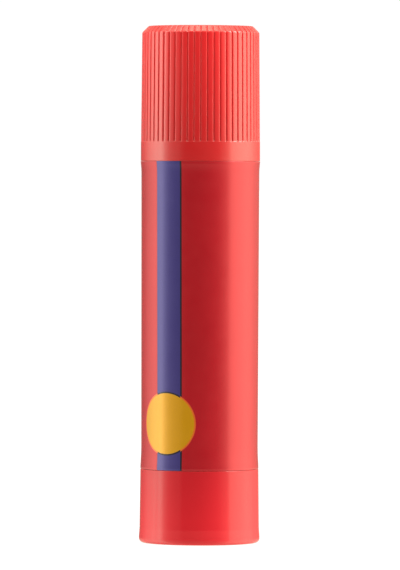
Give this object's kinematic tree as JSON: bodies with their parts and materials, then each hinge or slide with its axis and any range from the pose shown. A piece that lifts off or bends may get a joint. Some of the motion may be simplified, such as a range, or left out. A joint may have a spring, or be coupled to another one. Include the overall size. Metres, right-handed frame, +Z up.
{
  "type": "glue stick",
  "caption": "Twist-up glue stick: ribbed push-on cap, film-wrapped barrel, and a smooth flared knob that winds the glue out on a screw.",
  "frame": {"origin": "centre of the knob's foot, on the surface that the stick stands on", "axes": "+Z up the stick towards the cap, -Y towards the front of the label, so its stripe lies to the left of the front, towards -X"},
  "size_m": [0.0206, 0.0206, 0.088],
  "materials": {
    "cap_plastic": "moulded red polypropylene, semi-gloss",
    "barrel_plastic": "moulded red polypropylene, semi-gloss",
    "label_film": "printed film, red with a blue stripe and a yellow disc, satin gloss",
    "knob_plastic": "moulded red polypropylene, gloss",
    "spindle_plastic": "natural polypropylene",
    "carrier_plastic": "natural polypropylene",
    "glue": "waxy white glue"
  },
  "bodies": {
    "barrel": {"barrel": "barrel_plastic", "label_sleeve": "label_film"},
    "knob": {"twist_knob": "knob_plastic", "screw_spindle": "spindle_plastic"},
    "carrier": {"glue_carrier": "carrier_plastic", "glue_column": "glue"},
    "cap": {"cap": "cap_plastic"}
  },
  "joints": [
    {"name": "knob_turn", "type": "hinge", "parent": "barrel", "child": "knob", "pos_m": [0, 0, 0.0104], "axis": [0, 0, 1], "range_deg": [0, 6480]},
    {"name": "glue_slide", "type": "slide", "parent": "barrel", "child": "carrier", "axis": [0, 0, 1], "range_m": [0, 0.054]},
    {"name": "cap_pull", "type": "slide", "parent": "carrier", "child": "cap", "axis": [0, 0, 1], "range_m": [0, 0.035]}
  ],
  "couplings": [
    {"joint": "glue_slide", "follows": "knob_turn", "m_per_rad": 0.00047746}
  ]
}
